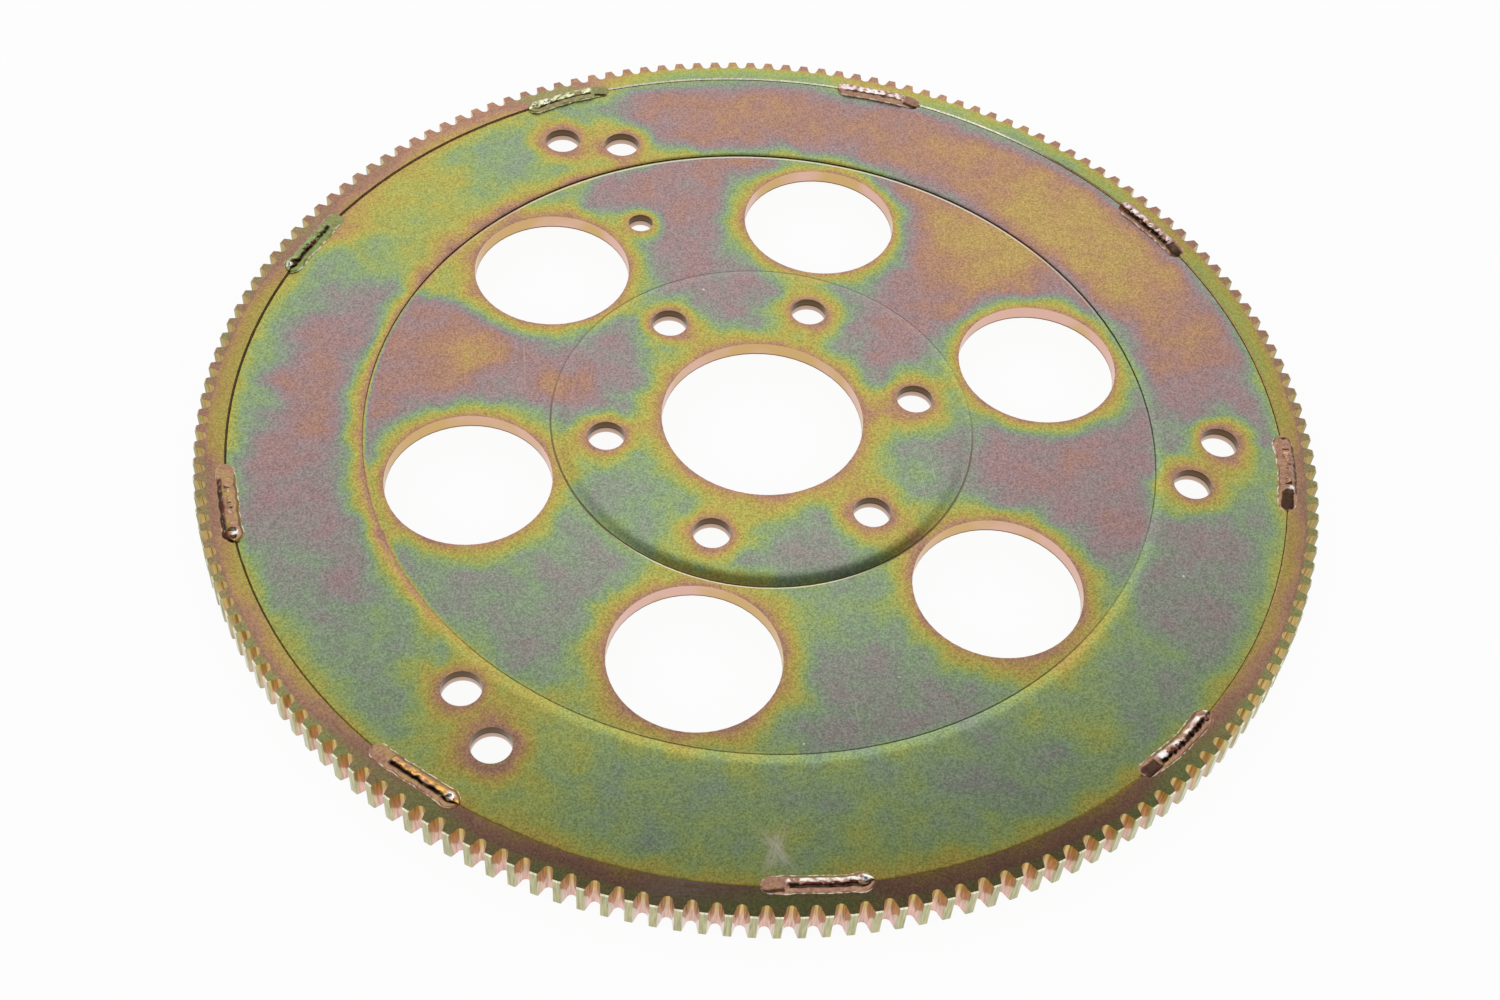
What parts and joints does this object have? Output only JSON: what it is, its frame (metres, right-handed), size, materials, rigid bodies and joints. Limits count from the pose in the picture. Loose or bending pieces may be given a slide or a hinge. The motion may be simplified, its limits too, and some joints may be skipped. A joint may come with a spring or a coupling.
{
  "type": "flexplate",
  "caption": "Pressed steel drive plate with a raised hub, large lightening holes and a toothed starter ring welded round its edge.",
  "frame": {"origin": "on the plate's axis, level with the ring gear's underside", "axes": "+Z along the axis, out of the side with the weld beads; +X through the middle of a converter pad"},
  "size_m": [0.3518, 0.3518, 0.0132],
  "materials": {
    "plated_sheet": "satin yellow zinc plating with rainbow tints",
    "plated_ring": "smooth yellow zinc plating",
    "weld_metal": "glossy rippled weld bead, plated over"
  },
  "bodies": {
    "root": {"drive_plate": "plated_sheet", "ring_gear": "plated_ring", "weld_bead_1": "weld_metal", "weld_bead_2": "weld_metal", "weld_bead_3": "weld_metal", "weld_bead_4": "weld_metal", "weld_bead_5": "weld_metal", "weld_bead_6": "weld_metal", "weld_bead_7": "weld_metal", "weld_bead_8": "weld_metal", "weld_bead_9": "weld_metal"}
  },
  "joints": []
}
